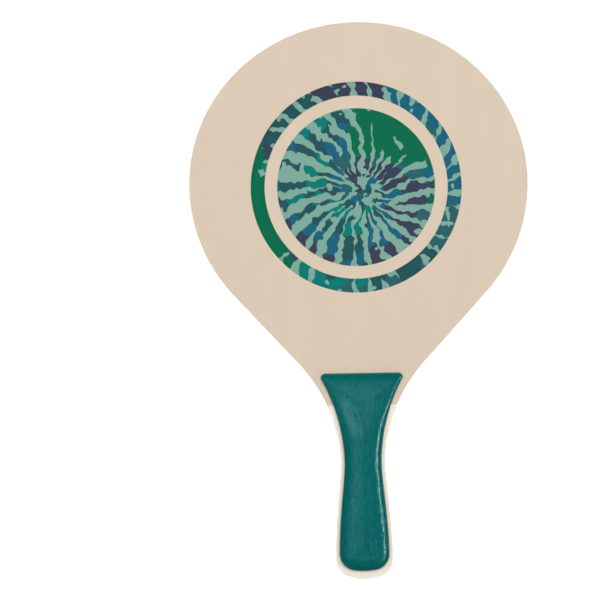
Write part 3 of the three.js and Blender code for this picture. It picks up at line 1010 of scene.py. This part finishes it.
# Each light has its name, place, size across and up, watts, and True where it lights the gloss only
# or False where it lights all but the gloss. The face lights stand before the front, and once more,
# turned half round, before the back.
FACE_LIGHTS = (
    ("key", (0.60, -2.25, 0.55), (1.2, 1.2), 25.5, False),
    ("fill", (-0.60, -2.25, 0.30), (1.2, 1.2), 17.0, False),
    ("sheen", (-0.90, -1.75, -0.10), (1.40, 1.75), 3.5, True),
    ("shoulder", (-0.76, -1.70, 0.42), (1.0, 0.50), 2.3, True),
    ("facet", (0.08, -1.90, 0.46), (0.16, 0.36), 0.32, True),
    ("brow", (0.26, -1.85, 1.05), (0.36, 0.50), 0.50, True),
    ("cheek", (0.60, -1.80, 0.52), (0.60, 0.32), 0.12, True),
    ("low", (0.35, -1.75, -0.85), (1.3, 0.32), 0.8, True),
    ("corner", (0.85, -1.75, -0.40), (0.7, 0.24), 0.22, True),
)
SIDE_LIGHTS = (
    ("strip_right", (1.20, -0.44, 0.28), (0.12, 1.3), 9.6, True),
    ("strip_low", (1.20, -0.44, -0.66), (0.12, 0.58), 1.8, True),
    ("rim_right", (1.90, 0.0, 0.35), (0.3, 1.4), 5.0, False),
    ("rim_left", (-1.90, 0.0, 0.35), (0.3, 1.4), 5.0, False),
    ("rim_top", (0.0, 0.0, 2.20), (1.4, 0.3), 5.0, False),
)
# Strengths of the world for soft light and for the camera, and what the gloss sees less of it
SOFT_WORLD, SEEN_WORLD, GLOSS_DIMMING = 0.14, 1.05, 0.11
FLOOR_REACH = 12.0


def add_light(name, place, size, watts, glossy):
    """Rectangular soft light aimed at the middle of the racket."""
    data = bpy.data.lights.new(name, "AREA")
    data.shape = "RECTANGLE"
    data.size, data.size_y = size
    data.energy = watts
    lamp = linked(name, data)
    lamp.location = place
    target = (CAD_BOX[0] + CAD_BOX[1]) / 2
    lamp.rotation_euler = (target - Vector(place)).to_track_quat("-Z", "Y").to_euler()
    lamp.visible_glossy = glossy
    lamp.visible_diffuse = not glossy
    lamp.visible_camera = False


def set_world():
    """White where the camera sees it, and a soft grey for the racket's light and its reflections."""
    world = bpy.data.worlds.new("studio_world")
    bpy.context.scene.world = world
    world.use_nodes = True
    tree = world.node_tree
    path = add_node(tree, "ShaderNodeLightPath").outputs
    soft = plus(tree, SOFT_WORLD, path["Is Glossy Ray"], -GLOSS_DIMMING)
    seen = times(tree, path["Is Camera Ray"], SEEN_WORLD)
    feed(tree, tree.nodes["Background"], {"Color": WHITE, "Strength": maths(tree, "MAXIMUM", soft, seen)})


class RACKET_OT_stage(bpy.types.Operator):
    """Set the pale floor, the soft lights and the camera"""

    bl_idname = "racket.stage"
    bl_label = "Stage"

    def execute(self, context):
        scene, studio = context.scene, context.scene.racket_studio
        mesh = bpy.data.meshes.new("studio_floor")
        corners = [(x * FLOOR_REACH, y * FLOOR_REACH, 0) for x, y in ((-1, -1), (1, -1), (1, 1), (-1, 1))]
        mesh.from_pydata(corners, [], [(0, 1, 2, 3)])
        mesh.materials.append(white_ground_material())
        floor = linked("studio_floor", mesh)
        floor.visible_glossy = False
        floor.visible_shadow = False
        for light in SIDE_LIGHTS:
            add_light(*light)
        for name, place, *rest in FACE_LIGHTS:
            add_light(name + "_front", place, *rest)
            add_light(name + "_back", (-place[0], -place[1], place[2]), *rest)
        set_world()
        data = bpy.data.cameras.new("portrait")
        data.lens = data.sensor_width * studio.distance / studio.view_width
        data.dof.use_dof = False
        camera = linked("portrait", data)
        camera.location = (studio.aim_x, -studio.distance, studio.aim_z)
        camera.rotation_euler = (QUARTER_TURN, studio.lean, 0)
        scene.camera = camera
        scene.view_settings.view_transform = "Standard"
        return {"FINISHED"}


class RACKET_PT_panel(bpy.types.Panel):
    """Sizes, colours and steps of the racket"""

    bl_idname = "RACKET_PT_panel"
    bl_label = "Beach Racket"
    bl_space_type = "VIEW_3D"
    bl_region_type = "UI"
    bl_category = "Racket"

    def draw(self, context):
        for name, _ in SETTINGS:
            box = self.layout.box()
            for key in getattr(context.scene, name).__annotations__:
                box.prop(getattr(context.scene, name), key)
        for operator in OPERATORS:
            self.layout.operator(operator.bl_idname)


SETTINGS = (
    ("racket_blade", BladeSettings),
    ("racket_film", FilmSettings),
    ("racket_print", PrintSettings),
    ("racket_grip", GripSettings),
    ("racket_studio", StudioSettings),
)
OPERATORS = (
    RACKET_OT_node_groups,
    RACKET_OT_plies,
    RACKET_OT_films,
    RACKET_OT_print,
    RACKET_OT_grip,
    RACKET_OT_stage,
)


def register():
    """Register the settings, the operators and the panel."""
    for name, kind in SETTINGS:
        bpy.utils.register_class(kind)
        setattr(bpy.types.Scene, name, bpy.props.PointerProperty(type=kind))
    for kind in (*OPERATORS, RACKET_PT_panel):
        bpy.utils.register_class(kind)


def unregister():
    """Take back what register made, in the opposite order."""
    for kind in (RACKET_PT_panel, *reversed(OPERATORS)):
        bpy.utils.unregister_class(kind)
    for name, kind in reversed(SETTINGS):
        delattr(bpy.types.Scene, name)
        bpy.utils.unregister_class(kind)


def main():
    """Register the add-on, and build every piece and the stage."""
    register()
    bpy.ops.racket.node_groups()
    bpy.ops.racket.plies()
    bpy.ops.racket.films()
    bpy.ops.racket.print()
    bpy.ops.racket.grip()
    bpy.ops.racket.stage()


if __name__ == "__main__":
    main()
